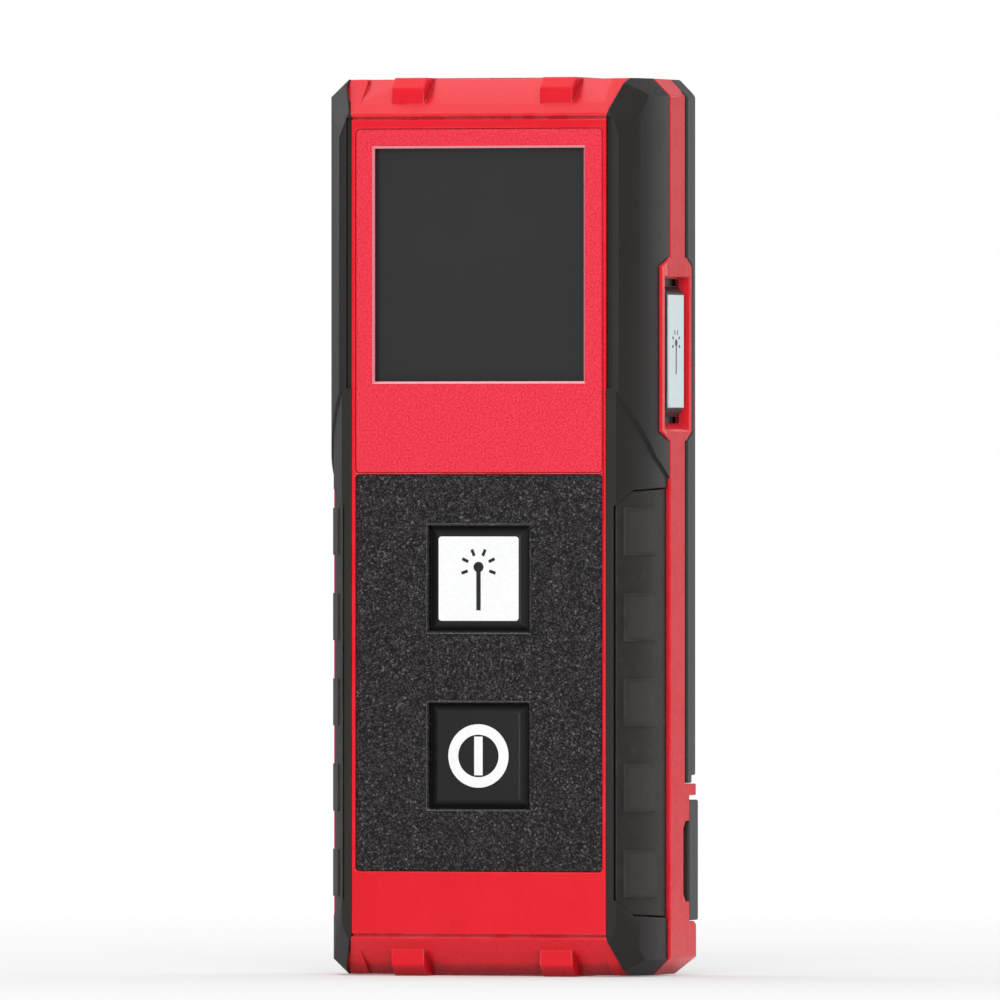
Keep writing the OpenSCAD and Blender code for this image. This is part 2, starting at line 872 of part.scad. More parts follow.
module side_switch() place([0.3, 0.3, 0.32]) difference() {
    side_block(side_switch_x, side_switch_x + switch_h, switch_w, switch_w);
    bar(side_d, side_z, side_switch_x + 0.3, side_switch_x + switch_h + past, stem_r + stem_gap);
}

// A flat flex cable from the main board round to the side board
module ribbon_cable() place([0.75, 0.55, 0.25]) {
    rise(74, 78) {
        translate([13.5, board_d + board_t]) square([3.3, 0.2]);
        translate([16.6, board_d + board_t]) square([0.2, 4]);
        translate([16.6, board_d + board_t + 3.8]) square([side_board_x - 16.6, 0.2]);
    }
}

// ---- boards --------------------------------------------------------------------

module main_board() place(board_green) difference() {
    centred(board_half, board_d, board_d + board_t, board_low, board_high);
    for (x = [-1, 1], z = boss_zs) peg(x * boss_x, z, 0, 10, 0.8);
    // notches beside the bosses of the optics screws
    for (x = [-1, 1]) block([x * 16 - 0.9, 5, 95], [x * 16 + 0.9, 8, 101]);
}

module front_switches() place([0.3, 0.3, 0.32]) {
    for (z = [measure_z, power_z]) difference() {
        plate(switch_w, switch_w, z, board_d - switch_h, board_d, 0.3);
        peg(0, z, 0, board_d - 0.3, stem_r + stem_gap);
    }
}

module processor_chips() place([0.09, 0.09, 0.1]) {
    d = board_d + board_t;
    centred(3.5, d, d + 0.5, 20.5, 24.4);
    block([5.5, d, 18], [9.5, d + 0.5, 24]);
    block([-11, d, 19], [-6, d + 0.5, 24]);
    block([7, d, 10.5], [11, d + 0.5, 15]);
}

module buzzer() place([0.1, 0.1, 0.11]) difference() {
    peg(-2.5, 14.5, board_d + board_t, board_d + board_t + 3, 4.5);
    peg(-2.5, 14.5, board_d + board_t + 2, board_d + board_t + 4, 0.6);
}

module board_screws() place(steel) {
    for (x = [-1, 1], z = boss_zs) difference() {
        union() {
            peg(x * boss_x, z, board_d - 2.2, board_d + board_t, 0.6);
            peg(x * boss_x, z, board_d + board_t, board_d + board_t + 0.6, 1.4);
        }
        translate([x * boss_x, board_d + board_t + 0.3, z]) rotate([-90, 0, 0])
            cylinder(r = 0.6, h = 1, $fn = 6);
    }
}

// ---- optics --------------------------------------------------------------------

module optics_chassis() place([0.2, 0.2, 0.21]) difference() {
    union() {
        centred(chassis_half, 7.3, 16.2, chassis_low, chassis_high);
        for (x = [-1, 1])
            block([x * 16.8 - 2.4, ear_d, 96], [x * 16.8 + 2.4, ear_d + 1.5, 100]);
    }
    post(laser_x, optics_d, chassis_low - 1, chassis_high + 1, laser_r);
    post(receiver_x, optics_d, chassis_low - 1, chassis_high + 1, receiver_r);
    for (x = [-1, 1]) peg(x * optics_screw_x, optics_screw_z, 0, 20, 0.8);
    // lightening pockets at the back, beside the two tubes
    for (x = [-13.4, 11.2]) block([x - 1.4, 9, 86], [x + 1.4, 17, 94]);
}

module laser_diode() place([0.8, 0.7, 0.4]) {
    post(laser_x, optics_d, chassis_low + 1, chassis_low + 7, laser_r - 0.02);
    post(laser_x, optics_d, chassis_low - 0.8, chassis_low + 1, 1.6);
}

// A thick lens: a rim with two shallow domes
module lens(x, z, r, rim, bulge) {
    dome_r = (r * r + bulge * bulge) / (2 * bulge);
    translate([x, optics_d, z]) {
        cylinder(r = r, h = rim);
        intersection() {
            cylinder(r = r - 0.1, h = rim + bulge);
            translate([0, 0, rim + bulge - dome_r]) sphere(r = dome_r);
        }
    }
}

module collimator_lens() place([0.7, 0.85, 0.9, 0.6]) lens(laser_x, 106, laser_r - 0.02, 1.6, 0.5);
module receiver_lens() place([0.7, 0.85, 0.9, 0.6]) lens(receiver_x, 107, receiver_r - 0.02, 2, 0.9);

module receiver_sensor() place(board_green) {
    block([receiver_x - 4.5, optics_d - 4, chassis_low - 1], [receiver_x + 4.5, optics_d + 4, chassis_low]);
    post(receiver_x, optics_d, chassis_low, chassis_low + 1.8, 2.4);
}

// The laser's and the receiver's ways out
module optics_bores() {
    post(laser_x, optics_d, 100, height + past, laser_r);
    post(receiver_x, optics_d, 100, height + past, window_bore_r);
}

// A box over the optics, drawn in from the bezel's edge
module optics_block(inset, low_z, high_z) {
    centred(optics_half - inset, optics_d - optics_w / 2 + inset,
            optics_d + optics_w / 2 - inset, low_z, high_z);
}

module optics_bezel() place([0.1, 0.1, 0.1]) difference() {
    optics_block(0, chassis_high + 0.1, height - 0.1);
    optics_block(1, height - 1.5, height + past);
    optics_bores();
}

module window_seal() place([0.06, 0.06, 0.06]) difference() {
    optics_block(1.1, height - 1.5, height - 1.3);
    optics_bores();
}

module optics_window() place([0.5, 0.1, 0.12, 0.6]) {
    optics_block(1.1, height - 1.3, height - 0.4);
}

module optics_screws() place(steel) {
    for (x = [-1, 1]) difference() {
        union() {
            peg(x * optics_screw_x, optics_screw_z, ear_d - 3, ear_d + 1.5, 0.6);
            peg(x * optics_screw_x, optics_screw_z, ear_d + 1.5, ear_d + 2.2, 1.3);
        }
        translate([x * optics_screw_x, ear_d + 1.9, optics_screw_z]) rotate([-90, 0, 0])
            cylinder(r = 0.6, h = 1, $fn = 6);
    }
}

// ---- batteries -----------------------------------------------------------------

module battery_tray() place([0.12, 0.12, 0.125]) {
    difference() {
        centred(tray_half, tray_d, tray_back, tray_low, tray_high);
        centred(tray_half - tray_wall, tray_d + 0.6, tray_back + 1,
                tray_low + tray_end, tray_high - tray_end);
    }
    // ridge between the two cells
    rise(tray_low + 6, tray_high - 6)
        polygon([[-1.7, tray_d + 0.5], [1.7, tray_d + 0.5], [0.15, 11], [-0.15, 11]]);
}

// A cell with its raised contact at the top
module cell(x, low_z) {
    post(x, cell_d, low_z, low_z + cell_l - 0.9, cell_r);
    post(x, cell_d, low_z + 1, low_z + cell_l, 1.9);
}

module left_battery() place([0.15, 0.35, 0.5]) cell(-cell_x, left_cell_low);

module right_battery() place([0.15, 0.35, 0.5])
    translate([0, 0, 2 * right_cell_low + cell_l]) mirror([0, 0, 1]) cell(cell_x, right_cell_low);

// A coil drawn as stacked rings
module coil(x, low_z, high_z) {
    wire = 0.28;
    turns = 5;
    step = (high_z - low_z - 2 * wire) / (turns - 1);
    for (i = [0:turns - 1]) translate([x, cell_d, low_z + wire + i * step])
        rotate_extrude() translate([2.6, 0]) circle(wire);
}

module spring_contacts() place(steel) {
    coil(-cell_x, tray_low + tray_end + 0.4, left_cell_low);
    coil(cell_x, right_cell_low + cell_l, tray_high - tray_end - 0.4);
}

module contact_plate(x, low_z, high_z) {
    block([x - 4.2, cell_d - 4, low_z], [x + 4.2, cell_d + 4, high_z]);
}

module plate_contacts() place(steel) {
    z = tray_low + tray_end;
    contact_plate(-cell_x, z, z + 0.4);
    contact_plate(cell_x, z, z + 0.4);
    post(cell_x, cell_d, z + 0.4, right_cell_low, 2);
}

module bridge_contact() place(steel) {
    z = tray_high - tray_end;
    centred(cell_x + 4.2, cell_d - 4, cell_d + 4, z - 0.4, z);
    post(-cell_x, cell_d, left_cell_low + cell_l, z - 0.4, 2);
}

module battery_door() place([0.25, 0.25, 0.255]) {
    difference() {
        door_plate(0, body_depth - door_t, body_depth);
        // thumb grip: short lines across
        for (i = [0:5]) centred(6 - 0.7 * abs(i - 2.5), body_depth - 0.4, body_depth + past,
                                door_high - 14 + 1.8 * i, door_high - 13.1 + 1.8 * i);
        door_notch();
    }
    // the skirt that fits in the battery opening
    difference() {
        door_plate(door_ledge + 0.15, 19, body_depth - door_t);
        door_plate(door_ledge + 1.2, 18, body_depth - door_t);
    }
}

// The door's outline, drawn in by an inset, between two depths
module door_plate(inset, low_d, high_d) {
    plate(2 * (door_half - inset), door_h - 2 * inset, door_mid, low_d, high_d,
          max(door_r - inset, 0.3));
}

module door_seal() place([0.06, 0.06, 0.06]) {
    seal_d = [body_depth - door_t - 0.25, body_depth - door_t];
    difference() {
        door_plate(0.1, seal_d[0], seal_d[1]);
        door_plate(door_ledge - hair, seal_d[0] - past, seal_d[1] + past);
    }
}

// ---- folding end piece ------------------------------------------------------------

module end_piece() place([0.27, 0.27, 0.275]) {
    top = end_piece_low + end_piece_h;
    back = body_depth + end_piece_proud;
    difference() {
        union() {
            centred(end_piece_half, end_piece_d, back, end_piece_low, top);
            on_both_sides() across(arm_x - arm_w / 2, arm_x + arm_w / 2) {
                translate([pin_d, pin_z]) circle(arm_r);
                translate([end_piece_d, pin_z]) square([pin_d + arm_r - end_piece_d, 5]);
            }
        }
        // hollow towards the body, with a rib across
        for (z = [[end_piece_low + 3.4, end_piece_low + 7.4], [end_piece_low + 8.4, top - 1.4]])
            centred(end_piece_half - 1.5, end_piece_d - 1, back - 1.4, z[0], z[1]);
        on_both_sides()
            bar(pin_d, pin_z, arm_x - arm_w, arm_x + arm_w, pin_r + hair);
        // fine grip lines across the outer face
        for (i = [0:3]) centred(end_piece_half - 4, back - 0.3, back + 1,
                                top - 4.6 + 0.9 * i, top - 4.2 + 0.9 * i);
    }
}

module end_piece_pin() place(steel) {
    bar(pin_d, pin_z, -pin_half, pin_half, pin_r);
}

module end_piece_detent() place(steel) {
    block([-detent_half[0], recess_d - 0.8, detent_z - detent_half[1]],
          [detent_half[0], recess_d - 0.5, detent_z + detent_half[1]]);
}

// ---- which sub-part to draw ---------------------------------------------------------

main_housing();
rear_cover();
case_seal();
left_grip();
right_grip();
left_grip_pad();
right_grip_pad();
bezel_panel();
keypad_panel();
display_window();
window_gasket();
lcd_glass();
lcd_backlight();
lcd_holder();
zebra_connectors();
measure_button();
measure_plate();
measure_icon();
measure_switch_stem();
power_button();
power_icon();
power_switch_stem();
side_button();
side_button_plate();
side_button_icon();
side_switch_stem();
main_board();
front_switches();
processor_chips();
buzzer();
side_board();
side_switch();
ribbon_cable();
optics_chassis();
laser_diode();
collimator_lens();
receiver_lens();
receiver_sensor();
optics_bezel();
optics_window();
window_seal();
battery_tray();
left_battery();
right_battery();
spring_contacts();
plate_contacts();
bridge_contact();
battery_door();
door_seal();
end_piece();
end_piece_pin();
end_piece_detent();
case_screws();
board_screws();
optics_screws();
rating_label();
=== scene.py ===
"""Looks of a pocket laser distance meter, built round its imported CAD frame.

Everything is in metres, in the frame's own axes: +X is the side with the side
button, the display faces -Y, and +Z runs up along the meter to its optics.
"""

import json
import math

import bmesh
import bpy
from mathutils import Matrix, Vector
from mathutils.geometry import intersect_point_line

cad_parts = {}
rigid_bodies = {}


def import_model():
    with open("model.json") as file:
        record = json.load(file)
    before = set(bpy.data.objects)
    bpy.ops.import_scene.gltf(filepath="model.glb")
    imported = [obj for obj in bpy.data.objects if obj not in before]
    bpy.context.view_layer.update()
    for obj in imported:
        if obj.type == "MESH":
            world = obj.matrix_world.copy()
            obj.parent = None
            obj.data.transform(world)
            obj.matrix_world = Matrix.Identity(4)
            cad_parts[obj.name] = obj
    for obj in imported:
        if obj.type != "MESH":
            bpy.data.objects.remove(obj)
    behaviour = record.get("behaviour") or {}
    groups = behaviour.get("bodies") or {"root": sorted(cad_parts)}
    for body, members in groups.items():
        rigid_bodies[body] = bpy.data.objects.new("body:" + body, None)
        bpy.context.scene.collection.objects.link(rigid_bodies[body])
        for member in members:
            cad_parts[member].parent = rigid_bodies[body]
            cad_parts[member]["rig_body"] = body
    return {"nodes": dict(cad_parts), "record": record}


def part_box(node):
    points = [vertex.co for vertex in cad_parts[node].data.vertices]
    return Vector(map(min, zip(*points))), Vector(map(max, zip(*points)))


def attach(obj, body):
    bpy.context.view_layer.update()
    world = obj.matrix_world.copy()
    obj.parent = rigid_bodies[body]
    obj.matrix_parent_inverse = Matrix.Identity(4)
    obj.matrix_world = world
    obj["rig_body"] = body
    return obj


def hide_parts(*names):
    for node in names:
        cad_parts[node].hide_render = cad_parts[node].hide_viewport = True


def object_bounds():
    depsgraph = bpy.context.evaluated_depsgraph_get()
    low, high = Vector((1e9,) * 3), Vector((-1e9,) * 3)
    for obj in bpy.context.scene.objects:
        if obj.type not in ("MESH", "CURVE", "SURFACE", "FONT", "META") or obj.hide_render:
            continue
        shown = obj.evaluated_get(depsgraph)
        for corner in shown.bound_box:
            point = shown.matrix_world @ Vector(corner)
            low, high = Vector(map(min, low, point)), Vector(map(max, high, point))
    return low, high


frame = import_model()
cad_low, cad_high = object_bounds()

MM = 0.001
NODES = frame["nodes"]
SLOT_OF = {part["node"]: part["material_slot"] for part in frame["record"]["subparts"]}

BUTTON_W = 13.5 * MM          # across the cap of a front button

# The batteries: the right one's axis, the height midway between the two, and the ends that
# lie on the springs
left_cell_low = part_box("left_battery")[0]
right_cell_low, right_cell_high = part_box("right_battery")
CELL_X = (right_cell_low.x + right_cell_high.x) / 2
CELL_Y = (right_cell_low.y + right_cell_high.y) / 2
LEFT_CELL_FOOT = left_cell_low.z
RIGHT_CELL_TOP = right_cell_high.z
CELL_MID_Z = (LEFT_CELL_FOOT + RIGHT_CELL_TOP) / 2

# Their print, measured from that height towards the contact; the sleeve ends at CELL_BARE_R
CELL_RING_LOW = 5.6 * MM
CELL_RING_HIGH = 6.3 * MM
CELL_BAND = 7.0 * MM
CELL_BARE_R = 4.75 * MM
PRINT_SOFT = 0.1 * MM         # how gradually one printed colour turns into the next

# The rating plate: from its rim to its border, half a line's width, and how far the two
# ruled lines lie from its middle
LABEL_MARGIN = 1.4 * MM
LABEL_LINE = 0.10 * MM
LABEL_RULE = 3.4 * MM

# The raised ribs of the grip pads, which pad_rubber paints lighter as a highlight: the lowest
# one's foot, their spacing and height, and where they lie from front to back
RIB_LOW = 10.25 * MM
RIB_PITCH = 11.05 * MM
RIB_H = 6.1 * MM
RIB_Y = -6.80 * MM
RIB_DEPTH = 5.3 * MM

# ---- camera ------------------------------------------------------------------

VIEW_AZIMUTH = math.radians(18.5)
CAMERA_DISTANCE = 3.0
FRAME_WIDTH = 129.6 * MM      # what the picture's width spans at the object
AIM_HEIGHT = 61.56 * MM
AIM_LEFT = 0.62 * MM          # the picture's centre lies this far left of the axis
SENSOR_WIDTH = 36.0


def make_camera():
    back = Vector((math.sin(VIEW_AZIMUTH), -math.cos(VIEW_AZIMUTH), 0))
    right = Vector((math.cos(VIEW_AZIMUTH), math.sin(VIEW_AZIMUTH), 0))
    data = bpy.data.cameras.new("camera")
    data.sensor_width = SENSOR_WIDTH
    data.lens = SENSOR_WIDTH * CAMERA_DISTANCE / FRAME_WIDTH
    data.clip_start = 0.1
    data.clip_end = 50
    camera = bpy.data.objects.new("camera", data)
    bpy.context.scene.collection.objects.link(camera)
    camera.location = Vector((0, 0, AIM_HEIGHT)) - AIM_LEFT * right + CAMERA_DISTANCE * back
    camera.rotation_mode = "QUATERNION"
    camera.rotation_quaternion = (-back).to_track_quat("-Z", "Y")
    bpy.context.scene.camera = camera


# ---- node-material helpers -----------------------------------------------------

# How many rays the nodes that feel for nearby surfaces send out
FINE = 6
COARSE = 4


class Shader:
    """A new node material with one Principled BSDF and the object's own coordinates."""

    def __init__(self, name, **inputs):
        self.material = bpy.data.materials.new(name)
        self.material.use_nodes = True
        self.tree = self.material.node_tree
        self.bsdf = self.tree.nodes["Principled BSDF"]
        self.place = self.add("ShaderNodeTexCoord").outputs["Object"]
        self.normal = None
        for key, value in inputs.items():
            self.set(self.bsdf.inputs[key.replace("_", " ")], value)

    def add(self, kind, settings=None, **inputs):
        node = self.tree.nodes.new(kind)
        for key, value in (settings or {}).items():
            setattr(node, key, value)
        for key, value in inputs.items():
            self.set(node.inputs[key.replace("_", " ")], value)
        return node

    def set(self, socket, value):
        if isinstance(value, bpy.types.NodeSocket):
            self.tree.links.new(value, socket)
        elif isinstance(value, tuple) and len(value) == 3 and socket.type == "RGBA":
            socket.default_value = (*value, 1)
        else:
            socket.default_value = value

    def noise(self, size, detail=2.0, rough=0.5, stretch=None):
        """Noise whose blobs are about size metres across, from 0 to 1."""
        place = self.place
        if stretch:
            place = self.add("ShaderNodeMapping", Vector=place, Scale=stretch).outputs[0]
        return self.add("ShaderNodeTexNoise", Vector=place, Scale=1 / size, Detail=detail,
                        Roughness=rough).outputs["Fac"]

    def cells(self, size):
        """One random number for each cell of about size metres."""
        node = self.add("ShaderNodeTexVoronoi", Vector=self.place, Scale=1 / size)
        parts = self.add("ShaderNodeSeparateColor", Color=node.outputs["Color"])
        return parts.outputs["Red"]

    def span(self, value, low, high, out_low=0.0, out_high=1.0):
        """value moved from low..high to out_low..out_high, and kept inside."""
        node = self.add("ShaderNodeMapRange", Value=value)
        for key, number in (("From Min", low), ("From Max", high),
                            ("To Min", out_low), ("To Max", out_high)):
            node.inputs[key].default_value = number
        return node.outputs[0]

    def mix(self, share, first, second):
        node = self.add("ShaderNodeMix", {"data_type": "RGBA"})
        for socket, value in ((node.inputs[0], share), (node.inputs[6], first),
                              (node.inputs[7], second)):
            self.set(socket, value)
        return node.outputs[2]

    def maths(self, operation, a, b=0.0):
        node = self.add("ShaderNodeMath", {"operation": operation})
        self.set(node.inputs[0], a)
        self.set(node.inputs[1], b)
        return node.outputs[0]

    def multiply(self, a, b):
        return self.maths("MULTIPLY", a, b)

    def near(self, value, centre, half):
        """1 where value lies within half of centre, 0 further away."""
        off = self.maths("ABSOLUTE", self.maths("SUBTRACT", value, centre))
        return self.span(off, half, 0.8 * half)

    def colour(self, value):
        self.set(self.bsdf.inputs["Base Color"], value)

    def base(self):
        """The base colour so far."""
        return self.bsdf.inputs["Base Color"].links[0].from_socket

    def roughness(self, value):
        self.set(self.bsdf.inputs["Roughness"], value)

    def bump(self, height, depth, strength=1.0):
        """Adds relief of the given depth in metres on top of any relief so far."""
        node = self.add("ShaderNodeBump", Height=height, Distance=depth, Strength=strength)
        if self.normal:
            self.set(node.inputs["Normal"], self.normal)
        self.normal = node.outputs[0]
        self.set(self.bsdf.inputs["Normal"], self.normal)

    def soften(self, radius):
        """Rounds the shading of edges by radius; comes before any relief."""
        self.normal = self.add("ShaderNodeBevel", {"samples": FINE}, Radius=radius).outputs[0]

    def openness(self, reach):
        """1 on open surfaces, lower in corners and recesses within reach."""
        node = self.add("ShaderNodeAmbientOcclusion", {"samples": FINE}, Distance=reach)
        return node.outputs["AO"]

    def edge_wear_and_highlight(self, radius, share, marked):
        """Mixes a share of the given colour in, in patches, where the surface turns a corner: worn
        edges on some materials, a painted highlight along the edges on others.
        """
        rounded = self.add("ShaderNodeBevel", {"samples": COARSE}, Radius=radius)
        flat = self.add("ShaderNodeNewGeometry").outputs["Normal"]
        facing = self.add("ShaderNodeVectorMath", {"operation": "DOT_PRODUCT"})
        self.set(facing.inputs[0], rounded.outputs[0])
        self.set(facing.inputs[1], flat)
        edge = self.span(facing.outputs["Value"], 0.97, 0.80)
        patchy = self.multiply(edge, self.span(self.noise(3 * MM, 4.0), 0.35, 0.65))
        self.colour(self.mix(self.multiply(patchy, share), self.base(), marked))


def shade(colour, factor):
    return tuple(channel * factor for channel in colour)


# ---- materials -----------------------------------------------------------------

def moulded(name, colour, rough, grain=0.25 * MM, depth=0.004 * MM, spread=0.06, level=0.5,
            soft=0.0):
    """Moulded plastic or rubber: faint mottling, fine grain and uneven gloss."""
    s = Shader(name, Specular_IOR_Level=level)
    if soft:
        s.soften(soft)
    mottle = s.noise(9 * MM, 3.0)
    s.colour(s.mix(s.span(mottle, 0.3, 0.7), shade(colour, 1 - spread), shade(colour, 1 + spread)))
    fine = s.noise(grain, 3.0, 0.6)
    s.roughness(s.span(fine, 0.3, 0.7, rough - 0.05, rough + 0.05))
    s.bump(fine, depth)
    return s


def red_plastic():
    """Glossy moulded plastic, with faint flow marks, the odd hairline scratch, painted shade in
    its recesses and a painted highlight along its edges.
    """
    red = (0.80, 0.0085, 0.021)
    s = Shader("red_plastic", Specular_IOR_Level=0.28, Coat_Weight=0.05, Coat_Roughness=0.12)
    flow = s.noise(14 * MM, 2.0, stretch=(1, 1, 0.25))
    base = s.mix(s.span(flow, 0.3, 0.7), shade(red, 0.95), (0.82, 0.0105, 0.025))
    scratch = s.noise(0.9 * MM, 1.0, stretch=(1, 1, 0.02))
    marked = s.mix(s.span(scratch, 0.72, 0.80, 0.0, 0.12), base, (0.88, 0.07, 0.09))
    # painted shade: the red turns deep red in corners and recesses, where shade falls
    s.colour(s.mix(s.span(s.openness(2 * MM), 0.30, 0.85), (0.36, 0.002, 0.008), marked))
    # painted highlight: light pink mixed in along the convex edges, for the light their roundings
    # catch
    s.edge_wear_and_highlight(0.30 * MM, 0.6, (0.96, 0.26, 0.30))
    s.roughness(s.span(s.noise(3 * MM, 3.0), 0.3, 0.7, 0.24, 0.32))
    s.bump(s.noise(4 * MM, 1.0), 0.003 * MM)
    return s


def red_textured_plastic():
    s = Shader("red_textured_plastic", Specular_IOR_Level=0.35)
    grain = s.noise(0.26 * MM, 4.0, 0.65)
    coarse = s.noise(0.9 * MM, 2.0)
    tone = s.mix(s.span(grain, 0.38, 0.62), (0.68, 0.007, 0.026), (0.94, 0.040, 0.082))
    tone = s.mix(s.span(coarse, 0.3, 0.7, 0.0, 0.16), tone, (0.88, 0.040, 0.078))
    s.colour(tone)
    s.roughness(s.span(grain, 0.3, 0.7, 0.66, 0.50))
    s.bump(grain, 0.018 * MM)
    s.bump(coarse, 0.005 * MM)
    return s


def painted_highlight_gloss(name, colour, ior):
    """Glossy narrow edges, which catch the light more than the faces beside them, with their
    colour painted lighter as a highlight.
    """
    s = Shader(name, IOR=ior, Coat_Weight=0.5, Coat_Roughness=0.08)
    s.colour(s.mix(s.noise(2 * MM, 3.0), shade(colour, 0.92), shade(colour, 1.08)))
    s.roughness(s.span(s.noise(0.8 * MM, 3.0), 0.3, 0.7, 0.18, 0.28))
    return s


def keypad_plastic():
    """Black plastic with a coarse, sparkling grain."""
    s = Shader("keypad_plastic", Specular_IOR_Level=0.26)
    fleck = s.cells(0.22 * MM)
    small = s.cells(0.17 * MM)
    dark, light = (0.0010, 0.0008, 0.0009), (0.0045, 0.0038, 0.0041)
    base = s.mix(s.span(s.noise(0.5 * MM, 3.0), 0.35, 0.65), dark, light)
    dim = s.mix(s.span(small, 0.52, 0.80), base, (0.046, 0.039, 0.041))
    s.colour(s.mix(s.span(fleck, 0.92, 1.0), dim, (0.130, 0.117, 0.117)))
    grain = s.noise(0.26 * MM, 5.0, 0.7)
    s.roughness(s.span(fleck, 0.88, 1.0, 0.66, 0.40))
    s.bump(grain, 0.030 * MM)
    return s


def grip_rubber():
    s = moulded("grip_rubber", (0.0130, 0.0114, 0.0104), 0.52, 0.30 * MM, 0.010 * MM, 0.10, 0.36,
                soft=0.25 * MM)
    s.edge_wear_and_highlight(0.30 * MM, 0.35, (0.040, 0.038, 0.036))
    return s


def pad_rubber():
    s = moulded("pad_rubber", (0.0150, 0.0130, 0.0112), 0.58, 0.22 * MM, 0.014 * MM, 0.12, 0.36,
                soft=0.25 * MM)
    # painted highlight: the raised ribs are coloured lighter, for the light their outward faces
    # catch
    parts = s.add("ShaderNodeSeparateXYZ", Vector=s.place)
    height = parts.outputs["Z"]
    turn = s.maths("MODULO", s.maths("SUBTRACT", height, RIB_LOW), RIB_PITCH)
    rib_highlight = s.multiply(s.near(turn, RIB_H / 2, RIB_H / 2), s.span(height, RIB_LOW - MM, RIB_LOW))
    rib_highlight = s.multiply(rib_highlight, s.near(parts.outputs["Y"], RIB_Y, RIB_DEPTH / 2))
    s.colour(s.mix(s.multiply(rib_highlight, 0.6), s.base(), (0.038, 0.033, 0.029)))
    dust = s.span(s.noise(1.6 * MM, 5.0, 0.7), 0.52, 0.75, 0.0, 0.25)
    s.colour(s.mix(dust, s.base(), (0.06, 0.056, 0.052)))
    # painted highlight: lighter colour along the rib and pad edges, where they catch the light
    s.edge_wear_and_highlight(0.35 * MM, 0.8, (0.075, 0.070, 0.064))
    return s


def cover_plastic():
    s = moulded("cover_plastic", (0.032, 0.033, 0.035), 0.52, 0.20 * MM, 0.016 * MM, 0.08, 0.45)
    s.edge_wear_and_highlight(0.30 * MM, 0.4, (0.085, 0.087, 0.09))
    return s


def key_plastic():
    s = moulded("key_plastic", (0.0075, 0.0070, 0.0085), 0.42, 0.18 * MM, 0.005 * MM, 0.10, 0.32)
    scuff = s.span(s.noise(0.5 * MM, 4.0, 0.7, stretch=(1, 1, 0.2)), 0.60, 0.80, 0.0, 0.15)
    s.colour(s.mix(scuff, s.base(), (0.05, 0.05, 0.052)))
    return s


def black_plastic():
    return moulded("black_plastic", (0.014, 0.014, 0.015), 0.48, 0.25 * MM, 0.008 * MM, 0.10, 0.4)


def white_print():
    return moulded("white_print", (0.93, 0.94, 0.94), 0.28, 0.6 * MM, 0.0015 * MM, 0.015)


def dark_print():
    return moulded("dark_print", (0.012, 0.012, 0.013), 0.40, 0.4 * MM, 0.0015 * MM, 0.10, 0.35)


def silver_plate():
    """Satin metallic plate with a fine brushed finish along its length."""
    s = Shader("silver_plate", Metallic=0.55)
    brushed = s.noise(0.10 * MM, 3.0, 0.6, stretch=(1, 1, 0.03))
    s.colour(s.mix(s.span(brushed, 0.3, 0.7), (0.60, 0.69, 0.72), (0.76, 0.83, 0.85)))
    s.roughness(s.span(brushed, 0.3, 0.7, 0.34, 0.46))
    s.bump(brushed, 0.0015 * MM)
    return s


def window_acrylic():
    """Dark display window: a polished face over a smoked layer."""
    s = Shader("window_acrylic", IOR=1.49, Specular_IOR_Level=0.5)
    haze = s.noise(20 * MM, 2.0)
    s.colour(s.mix(haze, (0.025, 0.025, 0.0255), (0.031, 0.031, 0.0315)))
    s.roughness(s.span(s.noise(3 * MM, 4.0), 0.3, 0.7, 0.05, 0.09))
    s.bump(s.noise(12 * MM, 1.0), 0.0008 * MM)
    return s


def optics_acrylic():
    s = Shader("optics_acrylic", IOR=1.49, Transmission_Weight=0.9, Specular_IOR_Level=0.5)
    s.colour(s.mix(s.noise(15 * MM), (0.50, 0.035, 0.05), (0.62, 0.06, 0.08)))
    s.roughness(s.span(s.noise(2 * MM, 4.0), 0.3, 0.7, 0.02, 0.05))
    return s


def lens_glass():
    s = Shader("lens_glass", IOR=1.52, Transmission_Weight=1.0)
    s.colour(s.mix(s.noise(4 * MM), (0.80, 0.90, 0.95), (0.92, 0.96, 0.98)))
    s.roughness(s.span(s.noise(1 * MM, 3.0), 0.3, 0.7, 0.0, 0.02))
    return s


def lcd_cell():
    """Display glass: unlit liquid crystal with faint columns."""
    s = Shader("lcd_cell", Coat_Weight=0.6, Coat_Roughness=0.05)
    wave = s.add("ShaderNodeTexWave", {"bands_direction": "X"}, Vector=s.place,
                 Scale=1 / (0.35 * MM), Distortion=0.0)
    s.colour(s.mix(s.multiply(wave.outputs["Fac"], 0.2), (0.20, 0.23, 0.21), (0.28, 0.31, 0.29)))
    s.roughness(s.span(s.noise(2 * MM), 0.3, 0.7, 0.12, 0.2))
    return s


def light_guide():
    s = moulded("light_guide", (0.80, 0.82, 0.79), 0.45, 0.5 * MM, 0.004 * MM, 0.03)
    s.set(s.bsdf.inputs["Subsurface Weight"], 0.2)
    s.set(s.bsdf.inputs["Subsurface Radius"], (2 * MM, 2 * MM, 2 * MM))
    return s


def silicone():
    s = Shader("silicone", Specular_IOR_Level=0.4)
    stripes = s.add("ShaderNodeTexWave", {"bands_direction": "X"}, Vector=s.place,
                    Scale=1 / (0.5 * MM)).outputs["Fac"]
    s.colour(s.mix(s.span(stripes, 0.4, 0.6), (0.70, 0.24, 0.36), (0.03, 0.03, 0.03)))
    s.roughness(s.span(s.noise(0.4 * MM), 0.3, 0.7, 0.5, 0.62))
    return s


def seal_rubber():
    return moulded("seal_rubber", (0.010, 0.010, 0.010), 0.65, 0.2 * MM, 0.010 * MM, 0.15, 0.35)


